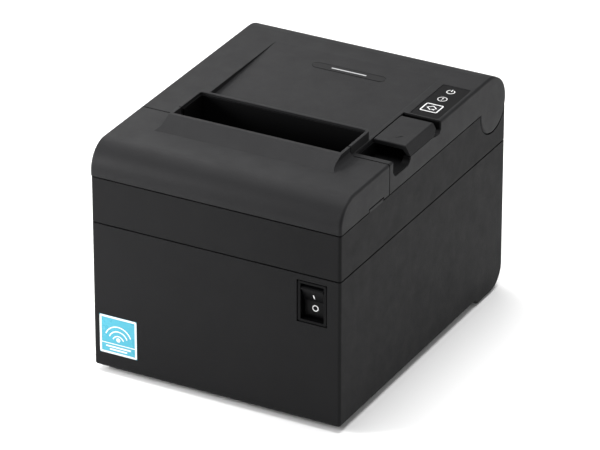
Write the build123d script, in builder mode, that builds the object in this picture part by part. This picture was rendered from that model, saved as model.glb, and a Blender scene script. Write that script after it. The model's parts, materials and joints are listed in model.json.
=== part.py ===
"""Desktop thermal receipt printer, drop-in paper roll, cover-open lever, automatic cutter.

Frame: +Z up, front towards -Y, right side +X, origin under the middle of the printer on the
surface that it stands on. Millimetres.
"""
from build123d import *
from math import asin, cos, degrees, pi, radians, sin, tan
import os

os.makedirs("parts", exist_ok=True)

# ---------------------------------------------------------------- driving dimensions
WIDTH = 133.0            # over the covers
DEPTH = 172.0            # front cover to hinge cylinder
FOOT = 3.2               # gap under the housing
SKIRT_Z = 0.5            # underside of the rear skirt
Z_SPLIT = 79.7           # seam between lower and middle housing
Z_SEAM = 103.6           # seam between middle housing and covers
Z_TOP = 119.5            # top of the covers
Z_SPOUT = 124.0          # rim of the raised paper exit
WALL = 2.4               # moulded wall
REVEAL = 0.35            # half of each seam's gap
INSET = 0.2              # housings stand this far inside the covers

HALF_W = WIDTH / 2
HALF_D = DEPTH / 2
HOUSE_X = HALF_W - INSET
HOUSE_FRONT = -HALF_D + INSET
CORNER = 1.4             # vertical corner radius

HINGE_Y = 72.0
HINGE_Z = 103.4
EAR_R = 14.0             # cover's rear cylinder, about the hinge
EAR_GAP = 0.35
EAR_T = 3.0              # thickness of the cover's hinge ears
CREST_R = 15.0           # rounding between the top and the rear cylinder
HINGE_PIN_R = 2.4
RUN = 0.05               # radial clearance of a running fit

SEAM_Y = -37.5           # seam between front cover and top cover
FRONT_R = 13.2           # rounding of the front cover's top edge

SPOUT_X = 46.0           # outside half width of the paper exit
SPOUT_REAR = -16.9
SPOUT_FRONT = -46.0
SPOUT_T = 1.5
RAMP_Y = -57.5           # foot of the ramp in front of the paper exit
CATCH_Y0, CATCH_Y1 = -57.6, -43.6
RECESS_X = 44.9          # half width of the sloping panel behind the exit
RECESS_REAR = 57.0
RECESS_DEEP = 3.0        # depth of that panel at the exit

POCKET_X = 46.6          # left edge of the finger pocket and the lever opening
POCKET_FRONT = -34.2
POCKET_REAR = -15.8
POCKET_SIDE_Z = 110.8    # pocket's lower edge in the side wall
POCKET_CORNER = 4.0
LEVER_BACK = 12.0
LEVER_GAP_REAR = 15.4
LEVER_SIDE_Z = 114.4     # lever's lower edge in the side wall
LEVER_Y = 10.5           # lever pivot
LEVER_Z = 113.0
LEVER_PIN_R = 1.5

PANEL_X0, PANEL_X1 = 49.3, 64.4
PANEL_Y0, PANEL_Y1 = 16.2, 52.0
PANEL_DEEP = 0.6
BUTTON_X, BUTTON_Y = 56.2, 25.9
BUTTON_W, BUTTON_D = 9.7, 9.1
LAMP_Y = (37.2, 46.1)    # status light, power light
LAMP_R = 2.6

BOARD_TOP = Z_TOP - 7.0  # upper face of the panel board

BADGE_X, BADGE_Y = 2.4, 43.8
BADGE_L, BADGE_W = 39.5, 5.6

SWITCH_X, SWITCH_Z = 51.4, 65.3
SWITCH_W, SWITCH_H = 15.0, 21.0       # bezel
SWITCH_BODY_W, SWITCH_BODY_H = 13.8, 19.8
SWITCH_RECESS = 1.5

PLATEN_Y, PLATEN_Z = -32.5, 96.0
PLATEN_R = 6.0
SHAFT_R = 3.0
PLATEN_HALF = 41.0
HOLDER_X = 44.1           # platen holder passes through the front cover's mouth
HEAD_Y = PLATEN_Y - PLATEN_R - 0.5    # face of the print head
HEAD_PIN_Y, HEAD_PIN_Z, HEAD_PIN_R = HEAD_Y - 3.6, 84.0, 1.5
HEAD_SPRING_X, HEAD_SPRING_Z = (-20.0, 20.0), 94.5
PLATE_X = 46.2           # inner face of the mechanism's side plates
PLATE_T = 1.2
PLATE_X1 = PLATE_X + PLATE_T

FEED_MODULE = 0.6
PLATEN_TEETH, IDLER_TEETH, PINION_TEETH = 14, 50, 12
GEAR_X0, GEAR_X1 = 48.6, 52.6
IDLER_Y = PLATEN_Y
IDLER_Z = PLATEN_Z - FEED_MODULE * (PLATEN_TEETH + IDLER_TEETH) / 2
MOTOR_ANGLE = 225.0      # direction of the feed motor from the idler
MOTOR_SPAN = FEED_MODULE * (IDLER_TEETH + PINION_TEETH) / 2
MOTOR_Y = IDLER_Y + MOTOR_SPAN * cos(radians(MOTOR_ANGLE))
MOTOR_Z = IDLER_Z + MOTOR_SPAN * sin(radians(MOTOR_ANGLE))
MOTOR_R = 13.0

RACK_MODULE = 1.0
RACK_TEETH = 10
CUT_Y = -66.0            # cutter shaft
CUT_Z = 100.0
CUT_SHAFT_R = 2.0
CUT_MODULE = 0.6
CUT_WHEEL_TEETH, CUT_PINION_TEETH = 30, 10
CUT_MOTOR_Z = CUT_Z - CUT_MODULE * (CUT_WHEEL_TEETH + CUT_PINION_TEETH) / 2
BLADE_Z = 106.2
BLADE_T = 1.0
BLADE_REST = -42.5       # blade's edge with the cutter open

LATCH_Y, LATCH_Z, LATCH_R = -14.5, 102.0, 1.8
STUD_Y, STUD_Z = -20.5, 91.0           # studs that the latch hooks hold

ROLL_Y, ROLL_Z, ROLL_R = 24.0, 72.0, 42.5
BUCKET_X = 42.0
BOARD_Z = 12.0

FOOT_X, FOOT_Y = 50.0, (-68.0, 45.0)
FOOT_R = 7.0
BASE_SCREW_X, BASE_SCREW_Y = 57.5, (-40.0, 20.0)
FRAME_SCREW_X, FRAME_SCREW_Y = 38.0, (-56.0, -31.0)
BOARD_SCREW_X, BOARD_SCREW_Y = 50.0, (-10.0, 62.0)
REAR_SCREW_X, REAR_SCREW_Z = 52.0, 23.0


# ---------------------------------------------------------------- helpers
def block(x0, x1, y0, y1, z0, z1, mode=Mode.ADD):
    """A box between two corners, in the part being built."""
    with Locations(((x0 + x1) / 2, (y0 + y1) / 2, (z0 + z1) / 2)):
        Box(x1 - x0, y1 - y0, z1 - z0, mode=mode)


def rod(x0, x1, y, z, radius, mode=Mode.ADD):
    """A cylinder along X, in the part being built."""
    with Locations(Location(((x0 + x1) / 2, y, z), (0, 90, 0))):
        Cylinder(radius, x1 - x0, mode=mode)


def post(x, y, z0, z1, radius, mode=Mode.ADD):
    """A cylinder along Z, in the part being built."""
    with Locations((x, y, (z0 + z1) / 2)):
        Cylinder(radius, z1 - z0, mode=mode)


def plug_hole(x, y0, y1, z, radius, mode=Mode.ADD):
    """A cylinder along Y, in the part being built."""
    with Locations(Location((x, (y0 + y1) / 2, z), (90, 0, 0))):
        Cylinder(radius, y1 - y0, mode=mode)


def prism(points, x0, x1, mode=Mode.ADD):
    """A side-view outline of (y, z) points, run along X."""
    with BuildSketch(Plane.YZ.offset(x0)) as outline:
        with BuildLine():
            Polyline(points, close=True)
        make_face()
    extrude(outline.sketch, amount=x1 - x0, mode=mode)


def gear(x0, x1, y, z, module, teeth, turn, mode=Mode.ADD):
    """A spur gear about X with straight-sided teeth; turn places one tooth, in degrees."""
    root = module * (teeth / 2 - 1.2)
    tall = module * 2.4
    plane = Plane(origin=(x0, y, z), x_dir=(0, 1, 0), z_dir=(1, 0, 0))
    with BuildSketch(plane) as outline:
        Circle(root)
        with PolarLocations(root - 0.3 * module, teeth, start_angle=turn):
            Polygon((0, -1.08 * module), (tall, -0.36 * module), (tall, 0.36 * module),
                    (0, 1.08 * module), align=None)
    extrude(outline.sketch, amount=x1 - x0, mode=mode)


def pocket_cut(x0, x1, shrink, mode=Mode.ADD):
    """The side view of the finger pocket, run along X; shrink moves its outline inwards."""
    with BuildSketch(Plane(origin=(x0, 0, 0), x_dir=(0, 1, 0), z_dir=(1, 0, 0))) as bite:
        with BuildLine():
            Polyline((POCKET_FRONT + shrink, 130.0), (POCKET_FRONT + shrink, POCKET_SIDE_Z + shrink),
                     (POCKET_REAR - shrink, POCKET_SIDE_Z + shrink),
                     (POCKET_REAR - shrink, 130.0), close=True)
        make_face()
        fillet(bite.vertices().sort_by(Axis.Y)[:2], POCKET_CORNER - shrink)
    extrude(bite.sketch, amount=x1 - x0, mode=mode)


def finish_part(part, name):
    part.label = name
    export_step(part, f"parts/{name}.step")


# ---------------------------------------------------------------- lower housing
with BuildPart() as lower_housing:
    with BuildSketch(Plane.YZ):
        with BuildLine():
            skirt = Polyline(
                (HALF_D, Z_SPLIT - REVEAL),
                (HOUSE_FRONT, Z_SPLIT - REVEAL),
                (HOUSE_FRONT, FOOT),
                (57.0, FOOT),
                (60.0, SKIRT_Z),
                (74.0, SKIRT_Z),
            )
            rear_curve = RadiusArc((74.0, SKIRT_Z), (HALF_D, 12.5), -12.0)
            Line(rear_curve @ 1, skirt @ 0)
        make_face()
    extrude(amount=HOUSE_X, both=True)
    uprights = lower_housing.edges().filter_by(Axis.Z)
    fillet(uprights, CORNER)
    fillet(lower_housing.faces().sort_by(Axis.Y)[0].edges().sort_by(Axis.Z)[0], CORNER)
    # hollow, open above and below
    block(-HOUSE_X + WALL, HOUSE_X - WALL, HOUSE_FRONT + WALL, HALF_D - WALL, 14.0, 90.0,
          mode=Mode.SUBTRACT)
    block(-HOUSE_X + 4.5, HOUSE_X - 4.5, HOUSE_FRONT + 4.5, 68.0, -1.0, 15.0, mode=Mode.SUBTRACT)
    # ledge that carries the base plate
    block(-HOUSE_X + WALL, HOUSE_X - WALL, HOUSE_FRONT + WALL, 72.0, 6.2, 15.0,
          mode=Mode.SUBTRACT)
    # room for the rear edge of the main board and for the interface plate
    block(-58.4, 58.4, 60.0, HALF_D - WALL, 10.6, 15.0, mode=Mode.SUBTRACT)
    # bosses that take the base plate's screws
    for side in (-1, 1):
        for y in BASE_SCREW_Y:
            post(side * BASE_SCREW_X, y, FOOT + 4.5, 18.0, 3.6)
            near, far = sorted((side * BASE_SCREW_X, side * (HOUSE_X - 1.0)))
            block(near, far, y - 1.5, y + 1.5, FOOT + 4.5, 18.0)
            post(side * BASE_SCREW_X, y, FOOT + 4.0, 16.0, 1.5, mode=Mode.SUBTRACT)
    # tongue inside the seam that locates the middle housing
    with BuildSketch(Plane.XY.offset(Z_SPLIT - 6.0)) as tongue:
        with Locations((0, (HOUSE_FRONT + HALF_D) / 2)):
            Rectangle(2 * (HOUSE_X - 1.4), HALF_D - HOUSE_FRONT - 2.8)
            Rectangle(2 * (HOUSE_X - 2.8), HALF_D - HOUSE_FRONT - 5.6, mode=Mode.SUBTRACT)
    extrude(tongue.sketch, amount=8.0)
    # recess and through hole for the power switch
    for wide, tall, depth in ((SWITCH_W + 0.9, SWITCH_H + 1.0, SWITCH_RECESS),
                              (SWITCH_BODY_W + 0.2, SWITCH_BODY_H + 0.2, 5.0)):
        block(SWITCH_X - wide / 2, SWITCH_X + wide / 2, HOUSE_FRONT - 1, HOUSE_FRONT + depth,
              SWITCH_Z - tall / 2, SWITCH_Z + tall / 2, mode=Mode.SUBTRACT)
    # window for the connectors in the rear wall
    block(-47.0, 47.0, HALF_D - 4, HALF_D + 1, 13.6, 33.0, mode=Mode.SUBTRACT)
    # two screw holes of the interface plate
    for x in (-REAR_SCREW_X, REAR_SCREW_X):
        plug_hole(x, HALF_D - 4, HALF_D + 1, REAR_SCREW_Z, 1.6, mode=Mode.SUBTRACT)
        plug_hole(x, HALF_D - 0.9, HALF_D + 1, REAR_SCREW_Z, 3.0, mode=Mode.SUBTRACT)
finish_part(lower_housing.part, "lower_housing")

# ---------------------------------------------------------------- middle housing
with BuildPart() as middle_housing:
    block(-HOUSE_X, HOUSE_X, HOUSE_FRONT, HALF_D, Z_SPLIT + REVEAL, Z_SEAM - REVEAL)
    fillet(middle_housing.edges().filter_by(Axis.Z), CORNER)
    block(-HOUSE_X + 2.9, HOUSE_X - 2.9, HOUSE_FRONT + 2.9, HALF_D - 2.9, 70.0, 110.0,
          mode=Mode.SUBTRACT)
    # rebate over the lower housing's tongue
    block(-HOUSE_X + 1.3, HOUSE_X - 1.3, HOUSE_FRONT + 1.3, HALF_D - 1.3, 70.0, Z_SPLIT + 2.0,
          mode=Mode.SUBTRACT)
    # everything makes way for the cover's hinge cylinder and its ears
    rod(-HALF_W - 1, HALF_W + 1, HINGE_Y, HINGE_Z, EAR_R + EAR_GAP, mode=Mode.SUBTRACT)
    # hinge plates inside the ears, one per side
    for side in (-1, 1):
        near, far = sorted((side * 60.6, side * 63.2))
        block(near, far, 50.0, HINGE_Y, 85.0, Z_SEAM - REVEAL)
        rod(near, far, HINGE_Y, HINGE_Z, EAR_R - WALL - 0.4)
        near, far = sorted((side * 63.0, side * (HOUSE_X - 1.0)))
        block(near, far, 50.0, 57.0, 85.0, Z_SEAM - REVEAL)
        block(near, far, 57.0, HINGE_Y, 85.0, 88.5)
        near, far = sorted((side * 58.0, side * 64.0))
        rod(near, far, HINGE_Y, HINGE_Z, HINGE_PIN_R, mode=Mode.SUBTRACT)
    # ledges that carry the paper bucket
    for side in (-1, 1):
        near, far = sorted((side * 51.0, side * (HOUSE_X - 2.0)))
        block(near, far, -14.0, 50.0, 82.0, 84.0)
finish_part(middle_housing.part, "middle_housing")

# ---------------------------------------------------------------- front cover
with BuildPart() as front_cover:
    rear_y = SEAM_Y - REVEAL
    bottom_z = Z_SEAM + REVEAL
    with BuildSketch(Plane.YZ):
        with BuildLine():
            face_line = Line((-HALF_D, bottom_z), (-HALF_D, Z_TOP - FRONT_R))
            brow = RadiusArc(face_line @ 1, (-HALF_D + FRONT_R, Z_TOP), FRONT_R)
            Polyline(brow @ 1, (rear_y, Z_TOP), (rear_y, bottom_z), face_line @ 0)
        make_face()
    extrude(amount=HALF_W, both=True)
    flanks = front_cover.faces().filter_by(Axis.X)
    rim = flanks.edges().filter_by_position(Axis.Y, -HALF_D - 1, SEAM_Y - 1)
    brow_edges = [e for e in rim if e.center().Z > bottom_z + 0.5 or e.geom_type != GeomType.LINE]
    fillet(brow_edges, 1.3)
    # ramp and front of the raised paper exit
    prism(
        [(RAMP_Y, Z_TOP - 1.0), (RAMP_Y, Z_TOP), (SPOUT_FRONT - 0.6, Z_SPOUT),
         (rear_y, Z_SPOUT), (rear_y, Z_TOP - 1.0)],
        -SPOUT_X, SPOUT_X,
    )
    # hollow underneath
    with BuildSketch(Plane.YZ) as hollow:
        with BuildLine():
            inner = FRONT_R - WALL
            up = Line((-HALF_D + WALL, bottom_z - 1), (-HALF_D + WALL, Z_TOP - FRONT_R))
            over = RadiusArc(up @ 1, (-HALF_D + FRONT_R, Z_TOP - WALL), inner)
            Polyline(over @ 1, (rear_y + 1, Z_TOP - WALL), (rear_y + 1, bottom_z - 1), up @ 0)
        make_face()
    extrude(hollow.sketch, amount=HALF_W - WALL, both=True, mode=Mode.SUBTRACT)
    # mouth of the paper exit
    block(-SPOUT_X + SPOUT_T, SPOUT_X - SPOUT_T, SPOUT_FRONT + 1.1, rear_y + 1, 110.0, 130.0,
          mode=Mode.SUBTRACT)
    # catch in the lower right edge, with a groove round it
    block(HALF_W - WALL, HALF_W, CATCH_Y0, CATCH_Y1, Z_SEAM - REVEAL + 0.08, bottom_z + 0.5)
    for y0, y1, z0 in ((CATCH_Y0 - 0.5, CATCH_Y0 + 0.1, bottom_z - 1),
                       (CATCH_Y1 - 0.1, CATCH_Y1 + 0.5, bottom_z - 1),
                       (CATCH_Y0, CATCH_Y1, bottom_z + 0.8)):
        block(HALF_W - 1.4, HALF_W + 1, y0, y1, z0, bottom_z + 1.5, mode=Mode.SUBTRACT)
    # lips that guide the cover inside the middle housing's side walls
    for side in (-1, 1):
        near, far = sorted((side * 61.6, side * 63.2))
        block(near, far, -74.0, -60.0, 100.0, 105.5)
        near, far = sorted((side * 61.6, side * (HALF_W - WALL + 0.3)))
        block(near, far, -74.0, -60.0, 104.1, 105.5)
    # concave blends between the exit's side walls and the cover
    for x in (-SPOUT_X, SPOUT_X):
        foot = [e for e in front_cover.edges().filter_by(Axis.Y)
                if abs(e.center().X - x) < 0.01 and abs(e.center().Z - Z_TOP) < 0.01]
        fillet(foot, 2.6)
finish_part(front_cover.part, "front_cover")

# ---------------------------------------------------------------- tear bar
with BuildPart() as tear_bar:
    bar_y = SPOUT_FRONT + 1.9
    block(-43.6, 43.6, bar_y, bar_y + 0.6, 114.0, 122.7)
    teeth_count = 58
    pitch = 1.5
    with BuildSketch(Plane.XZ.offset(-bar_y - 0.6)) as serration:
        with Locations((0, 122.6)):
            with GridLocations(pitch, 1, teeth_count, 1):
                Polygon((-0.75, 0), (0.75, 0), (0, 0.8), align=None)
    extrude(serration.sketch, amount=0.6)
    block(-43.6, 43.6, bar_y - 0.8, bar_y, 114.0, 117.0)
finish_part(tear_bar.part, "tear_bar")

# ---------------------------------------------------------------- top cover
with BuildPart() as top_cover:
    front_y = SEAM_Y + REVEAL
    base_z = Z_SEAM + REVEAL
    brow_y = HINGE_Y + EAR_R * cos(radians(60))
    brow_z = HINGE_Z + EAR_R * sin(radians(60))
    crest_y = brow_y - (Z_TOP - brow_z) * tan(radians(60))
    crest_t = CREST_R * tan(radians(15))
    rear_end = degrees(asin((base_z - HINGE_Z) / EAR_R))
    with BuildSketch(Plane.YZ) as profile:
        with BuildLine():
            top_line = Line((front_y, Z_TOP), (crest_y - crest_t, Z_TOP))
            crest_end = (crest_y + crest_t * cos(radians(30)), Z_TOP - crest_t * sin(radians(30)))
            crest = RadiusArc(top_line @ 1, crest_end, CREST_R)
            Line(crest @ 1, (brow_y, brow_z))
            rear_arc = CenterArc((HINGE_Y, HINGE_Z), EAR_R, 60.0, rear_end - 60.0)
            Polyline(rear_arc @ 1, (front_y, base_z), top_line @ 0)
        make_face()
        with Locations((HINGE_Y, HINGE_Z)):
            Circle(EAR_R)
    extrude(profile.sketch, amount=HALF_W, both=True)
    flanks = top_cover.faces().filter_by(Axis.X)
    rim = flanks.edges().filter_by_position(Axis.Z, Z_TOP - 3, Z_TOP + 1)
    fillet(rim.filter_by(Axis.Y), 1.3)
    # inside: sloping ceiling under the panel, round at the hinge
    ceiling = Z_TOP - RECESS_DEEP - WALL
    prism(
        [(front_y - 1, 80.0), (front_y - 1, ceiling), (-16.0, ceiling),
         (RECESS_REAR, Z_TOP - WALL), (HINGE_Y, Z_TOP - WALL), (HINGE_Y, 80.0)],
        -HALF_W + EAR_T, HALF_W - EAR_T, mode=Mode.SUBTRACT,
    )
    rod(-HALF_W + EAR_T, HALF_W - EAR_T, HINGE_Y, HINGE_Z, EAR_R - WALL, mode=Mode.SUBTRACT)
    # the rear cylinder ends inside the housing and clears its hinge plates
    prism(
        [(HINGE_Y - EAR_R - 1, HINGE_Z), (HINGE_Y, HINGE_Z), (HINGE_Y + 11.5, HINGE_Z - 13.7),
         (HINGE_Y + 11.5, HINGE_Z - 20), (HINGE_Y - EAR_R - 1, HINGE_Z - 20)],
        -HALF_W + EAR_T, HALF_W - EAR_T, mode=Mode.SUBTRACT,
    )
    for side in (-1, 1):
        near, far = sorted((side * 60.2, side * (HALF_W - EAR_T)))
        block(near, far, 50.0, 90.0, 80.0, Z_SEAM + 1.2, mode=Mode.SUBTRACT)
        near, far = sorted((side * (HALF_W - EAR_T - 1), side * (HALF_W - 1.0)))
        rod(near, far, HINGE_Y, HINGE_Z, HINGE_PIN_R + RUN, mode=Mode.SUBTRACT)
    # sloping panel behind the paper exit
    prism(
        [(front_y - 1, Z_TOP - RECESS_DEEP), (-16.0, Z_TOP - RECESS_DEEP),
         (RECESS_REAR, Z_TOP), (front_y - 1, Z_TOP + 0.01)],
        -RECESS_X, RECESS_X, mode=Mode.SUBTRACT,
    )
    # rear of the raised paper exit
    with BuildSketch(Plane.XY.offset(ceiling)) as spout:
        with Locations((0, (front_y + SPOUT_REAR) / 2)):
            Rectangle(2 * SPOUT_X, SPOUT_REAR - front_y)
        fillet(spout.vertices().sort_by(Axis.Y)[-2:], 3.0)
    extrude(spout.sketch, amount=Z_SPOUT - ceiling)
    with BuildSketch(Plane.XY.offset(100.0)) as mouth:
        with Locations((0, (front_y - 1 + SPOUT_REAR - SPOUT_T) / 2)):
            Rectangle(2 * (SPOUT_X - SPOUT_T), SPOUT_REAR - SPOUT_T - front_y + 1)
        fillet(mouth.vertices().sort_by(Axis.Y)[-2:], 1.6)
    extrude(mouth.sketch, amount=30.0, mode=Mode.SUBTRACT)
    left_foot = [e for e in top_cover.edges().filter_by(Axis.Y)
                 if abs(e.center().X + SPOUT_X) < 0.01 and abs(e.center().Z - Z_TOP) < 0.01]
    fillet(left_foot, 2.6)
    # opening for the lever and the finger pocket, through the roof and the right wall
    block(POCKET_X, HALF_W - EAR_T, POCKET_FRONT, LEVER_GAP_REAR, 105.0, 130.0,
          mode=Mode.SUBTRACT)
    prism([(POCKET_REAR - 0.1, LEVER_SIDE_Z), (7.0, LEVER_SIDE_Z), (9.5, LEVER_SIDE_Z - 1.0),
           (LEVER_GAP_REAR - 1.5, LEVER_SIDE_Z - 1.0), (LEVER_GAP_REAR, LEVER_SIDE_Z + 0.8),
           (LEVER_GAP_REAR, 130.0), (POCKET_REAR - 0.1, 130.0)],
          HALF_W - 6, HALF_W + 1, mode=Mode.SUBTRACT)
    pocket_cut(HALF_W - 6, HALF_W + 1, 0.0, mode=Mode.SUBTRACT)
    # inset for the control panel, with its button and light openings
    with BuildSketch(Plane.XY.offset(Z_TOP)) as inset:
        with Locations(((PANEL_X0 + PANEL_X1) / 2, (PANEL_Y0 + PANEL_Y1) / 2)):
            Rectangle(PANEL_X1 - PANEL_X0, PANEL_Y1 - PANEL_Y0)
        fillet(inset.vertices(), 1.2)
    extrude(inset.sketch, amount=-PANEL_DEEP, mode=Mode.SUBTRACT)
    block(BUTTON_X - BUTTON_W / 2 - 0.3, BUTTON_X + BUTTON_W / 2 + 0.3,
          BUTTON_Y - BUTTON_D / 2 - 0.3, BUTTON_Y + BUTTON_D / 2 + 0.3,
          110.0, 130.0, mode=Mode.SUBTRACT)
    for y in LAMP_Y:
        post(BUTTON_X, y, 110.0, 130.0, LAMP_R, mode=Mode.SUBTRACT)
    # inset for the badge
    with BuildSketch(Plane.XY.offset(Z_TOP)) as lozenge:
        with Locations((BADGE_X, BADGE_Y)):
            SlotOverall(BADGE_L, BADGE_W)
    extrude(lozenge.sketch, amount=-1.3, mode=Mode.SUBTRACT)
    # pegs that carry the panel board
    for x, y in ((50.8, 20.0), (61.6, 49.0)):
        post(x, y, BOARD_TOP, 118.0, 1.3)
finish_part(top_cover.part, "top_cover")

# ---------------------------------------------------------------- paper exit liner
with BuildPart() as exit_liner:
    liner_x = SPOUT_X - SPOUT_T - 0.05
    liner_y = SPOUT_REAR - SPOUT_T - 0.05
    block(-liner_x, liner_x, SEAM_Y + 1.0, liner_y, 109.0, 122.8)
    fillet(exit_liner.edges().filter_by(Axis.Z).sort_by(Axis.Y)[-2:], 1.6)
    block(-liner_x + 0.9, liner_x - 0.9, SEAM_Y, liner_y - 0.9, 100.0, 130.0,
          mode=Mode.SUBTRACT)
finish_part(exit_liner.part, "exit_liner")

# ---------------------------------------------------------------- lever base
with BuildPart() as lever_base:
    base_x0, base_x1 = POCKET_X + 0.1, HALF_W - EAR_T - 0.1
    base_y0, base_y1 = POCKET_FRONT + 0.1, LEVER_GAP_REAR - 0.1
    block(base_x0, base_x1, base_y0, base_y1, 106.6, Z_TOP - 1.6)
    # finger pocket
    block(base_x0 + 0.9, base_x1 + 1, base_y0 + 1.0, POCKET_REAR + 5, POCKET_SIDE_Z, 130.0,
          mode=Mode.SUBTRACT)
    # well for the lever, open below for its finger
    block(base_x0 + 0.9, base_x1 - 0.9, POCKET_REAR + 4, base_y1 - 1.0, 108.6, 130.0,
          mode=Mode.SUBTRACT)
    # wall that closes the pocket off from the well
    block(base_x0 + 0.5, base_x1 - 0.5, POCKET_REAR + 4.0, POCKET_REAR + 5.0, 108.0, 116.5)
    block(50.6, 56.6, -13.0, 10.2, 100.0, 109.6, mode=Mode.SUBTRACT)
    # left wall is lower under the lever
    block(base_x0 - 1, base_x0 + 1.2, POCKET_REAR - 1.0, base_y1 + 1, 116.5, 130.0,
          mode=Mode.SUBTRACT)
    block(base_x0 - 1, base_x1 + 1, LEVER_BACK - 1.0, base_y1 + 1, 113.4, 130.0,
          mode=Mode.SUBTRACT)
    block(base_x1 - 1.5, base_x1 + 1, POCKET_REAR + 0.1, base_y1 + 1, LEVER_SIDE_Z + 0.4, 130.0,
          mode=Mode.SUBTRACT)
    # rear wall, which lines the gap behind the lever
    block(base_x0, base_x1, base_y1 - 0.6, base_y1, 112.0, Z_TOP - 0.4)
    block(base_x1 - 1.0, HALF_W - 0.5, base_y1 - 0.6, base_y1, LEVER_SIDE_Z + 1.2, Z_TOP - 0.4)
    # lining of the pocket's cut in the side wall
    pocket_cut(base_x1 - 0.5, HALF_W - 0.3, 0.1)
    pocket_cut(base_x1 - 0.6, HALF_W, 0.8, mode=Mode.SUBTRACT)
    block(base_x1 - 0.6, HALF_W, POCKET_FRONT, POCKET_REAR + 1, Z_TOP - 0.5, 131.0,
          mode=Mode.SUBTRACT)
    block(base_x1 - 0.6, HALF_W, POCKET_REAR - 2, POCKET_REAR + 1, LEVER_SIDE_Z - 0.2, 131.0,
          mode=Mode.SUBTRACT)
    # pivot cheeks
    for x0, x1 in ((base_x0, base_x0 + 2.2), (base_x1 - 2.2, base_x1)):
        block(x0, x1, LEVER_Y - 3.0, LEVER_Y + 3.0, 107.0, LEVER_Z)
    rod(base_x0 - 1, base_x1 + 1, LEVER_Y, LEVER_Z, LEVER_PIN_R, mode=Mode.SUBTRACT)
finish_part(lever_base.part, "lever_base")

with BuildPart() as lever_pin:
    rod(base_x0, base_x1, LEVER_Y, LEVER_Z, LEVER_PIN_R)
finish_part(lever_pin.part, "lever_pin")

# ---------------------------------------------------------------- cover-open lever
lever_x0 = POCKET_X + 0.4
with BuildPart() as open_lever:
    lever_plane = Plane(origin=(0, LEVER_BACK, 0), x_dir=(1, 0, 0), z_dir=(0, -1, 0))
    lever_len = LEVER_BACK - POCKET_REAR + 0.6
    with BuildSketch(lever_plane) as cap:
        with BuildLine():
            Polyline((lever_x0, Z_TOP), (HALF_W - 2.6, Z_TOP), (HALF_W, LEVER_SIDE_Z + 0.3),
                     (HALF_W - 1.9, LEVER_SIDE_Z + 0.3), (HALF_W - 4.2, Z_TOP - 2.2),
                     (lever_x0, Z_TOP - 2.2), close=True)
        make_face()
    extrude(cap.sketch, amount=lever_len)
    crown = open_lever.edges().filter_by_position(Axis.Z, Z_TOP - 0.1, Z_TOP + 0.1)
    fillet(crown, 0.6)
    # ears on the pivot pin and the finger that works the latch
    for x0, x1 in ((52.0, 54.4), (58.0, 60.4)):
        prism([(-4.0, Z_TOP - 2.0), (LEVER_BACK - 0.5, Z_TOP - 2.0), (LEVER_Y + 3, LEVER_Z),
               (LEVER_Y + 2, LEVER_Z - 2.6), (LEVER_Y - 2, LEVER_Z - 2.6)], x0, x1)
        rod(x0, x1, LEVER_Y, LEVER_Z, 3.0)
    prism([(LEVER_Y - 1, LEVER_Z - 2.0), (0.5, 106.4), (-3.0, 104.6), (-3.0, 103.0),
           (0.5, 103.6), (LEVER_Y + 2, LEVER_Z - 2.6)], 52.0, 54.4)
    rod(lever_x0, HALF_W, LEVER_Y, LEVER_Z, LEVER_PIN_R + RUN, mode=Mode.SUBTRACT)
    # the flank ends in a slant behind the pivot
    prism([(8.0, LEVER_SIDE_Z - 1), (8.6, LEVER_SIDE_Z + 0.3), (LEVER_BACK + 0.1, LEVER_SIDE_Z + 2.4),
           (LEVER_BACK + 2, LEVER_SIDE_Z + 2.4), (LEVER_BACK + 2, LEVER_SIDE_Z - 1)],
          HALF_W - 4.4, HALF_W + 1, mode=Mode.SUBTRACT)
finish_part(open_lever.part, "open_lever")

with BuildPart() as lever_spring:
    rod(54.6, 57.8, LEVER_Y, LEVER_Z, 2.6)
    rod(54.0, 58.0, LEVER_Y, LEVER_Z, LEVER_PIN_R + 0.1, mode=Mode.SUBTRACT)
finish_part(lever_spring.part, "lever_spring")

# ---------------------------------------------------------------- latch
with BuildPart() as latch:
    rod(-49.4, 55.6, LATCH_Y, LATCH_Z, LATCH_R)
    for x0, x1 in ((-49.4, -48.0), (48.0, 49.4)):
        prism([(LATCH_Y - 2.4, LATCH_Z + 1), (LATCH_Y + 2.4, LATCH_Z + 1), (LATCH_Y + 1, 87.4),
               (STUD_Y + 2.3, 87.4), (STUD_Y + 2.3, 89.4), (LATCH_Y - 2.4, 91.6)], x0, x1)
        rod(x0, x1, LATCH_Y, LATCH_Z, 3.0)
    prism([(LATCH_Y, LATCH_Z - 1.8), (LATCH_Y, LATCH_Z + 1.8), (-4.0, 107.9), (-1.6, 107.9),
           (-1.6, 106.4)], 52.0, 54.4)
    rod(52.0, 54.4, LATCH_Y, LATCH_Z, 3.0)
finish_part(latch.part, "latch")

# ---------------------------------------------------------------- control panel
with BuildPart() as control_panel:
    with BuildSketch(Plane.XY.offset(Z_TOP - PANEL_DEEP)) as face:
        with Locations(((PANEL_X0 + PANEL_X1) / 2, (PANEL_Y0 + PANEL_Y1) / 2)):
            Rectangle(PANEL_X1 - PANEL_X0 - 0.2, PANEL_Y1 - PANEL_Y0 - 0.2)
        fillet(face.vertices(), 1.1)
        with Locations((BUTTON_X, BUTTON_Y)):
            Rectangle(BUTTON_W + 0.3, BUTTON_D + 0.3, mode=Mode.SUBTRACT)
        with Locations([(BUTTON_X, y) for y in LAMP_Y]):
            Circle(LAMP_R, mode=Mode.SUBTRACT)
    extrude(face.sketch, amount=PANEL_DEEP - 0.15)
finish_part(control_panel.part, "control_panel")

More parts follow.
